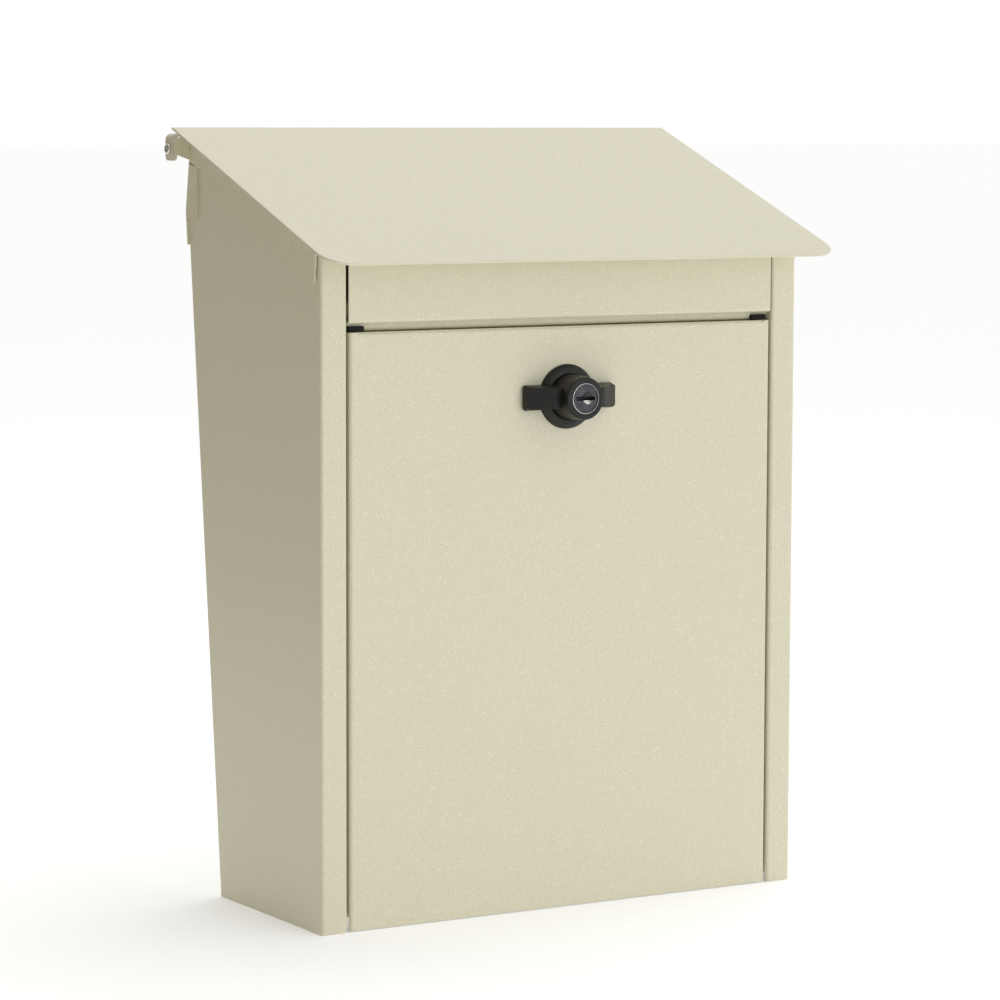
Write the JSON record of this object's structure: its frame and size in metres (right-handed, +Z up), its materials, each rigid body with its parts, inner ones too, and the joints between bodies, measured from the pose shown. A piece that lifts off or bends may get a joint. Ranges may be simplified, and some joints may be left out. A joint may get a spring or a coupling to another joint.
{
  "type": "wall mailbox",
  "caption": "Wall mailbox of folded cream-painted steel with a sloping lid hinged at the back and a front door opened by a black wing knob with a key lock.",
  "frame": {"origin": "on the ground under the middle of the whole object's box", "axes": "+Z up, -Y towards the front with the door and the lock, +X to the right as seen from the front"},
  "size_m": [0.303, 0.1781, 0.395],
  "materials": {
    "cream_paint": "satin powder coat with a fine grain",
    "black_rubber": "matt",
    "black_plastic": "satin moulded",
    "zinc_steel": "zinc plated",
    "bright_steel": "bright plated",
    "dark_zinc": "dark burnished die casting"
  },
  "bodies": {
    "body": {"side_panel_left": "cream_paint", "side_panel_right": "cream_paint", "back_panel": "cream_paint", "bottom_panel": "cream_paint", "cross_rail": "cream_paint", "door_buffer_left": "black_rubber", "door_buffer_right": "black_rubber", "upper_front_panel": "cream_paint", "lid_buffers": "black_rubber", "hinge_strip": "cream_paint", "door_pin_left": "zinc_steel", "door_pin_right": "zinc_steel"},
    "lid": {"lid_panel": "cream_paint", "lid_bracket_left": "cream_paint", "lid_bracket_right": "cream_paint", "hinge_rod": "zinc_steel", "ear_screw_left": "bright_steel", "ear_screw_right": "bright_steel"},
    "door": {"door_panel": "cream_paint", "lock_housing": "black_plastic", "lock_washer": "zinc_steel", "lock_nut": "zinc_steel"},
    "knob": {"wing_knob": "black_plastic", "cylinder_sleeve": "bright_steel", "spindle": "zinc_steel", "cam": "zinc_steel", "cam_washer": "zinc_steel", "cam_screw": "zinc_steel"},
    "key_core": {"key_plug": "dark_zinc"}
  },
  "joints": [
    {"name": "lid_hinge", "type": "hinge", "parent": "body", "child": "lid", "pos_m": [0, 0.08494, 0.384], "axis": [-1, 0, 0], "range_deg": [0, 90]},
    {"name": "door_hinge", "type": "hinge", "parent": "body", "child": "door", "pos_m": [0, -0.05704, 0.011], "axis": [1, 0, 0], "range_deg": [0, 85]},
    {"name": "knob_turn", "type": "hinge", "parent": "door", "child": "knob", "pos_m": [0, -0.06154, 0.26107], "axis": [0, 1, 0], "range_deg": [0, 90]},
    {"name": "key_turn", "type": "hinge", "parent": "knob", "child": "key_core", "pos_m": [0, -0.06154, 0.26107], "axis": [0, 1, 0], "range_deg": [0, 90]}
  ]
}
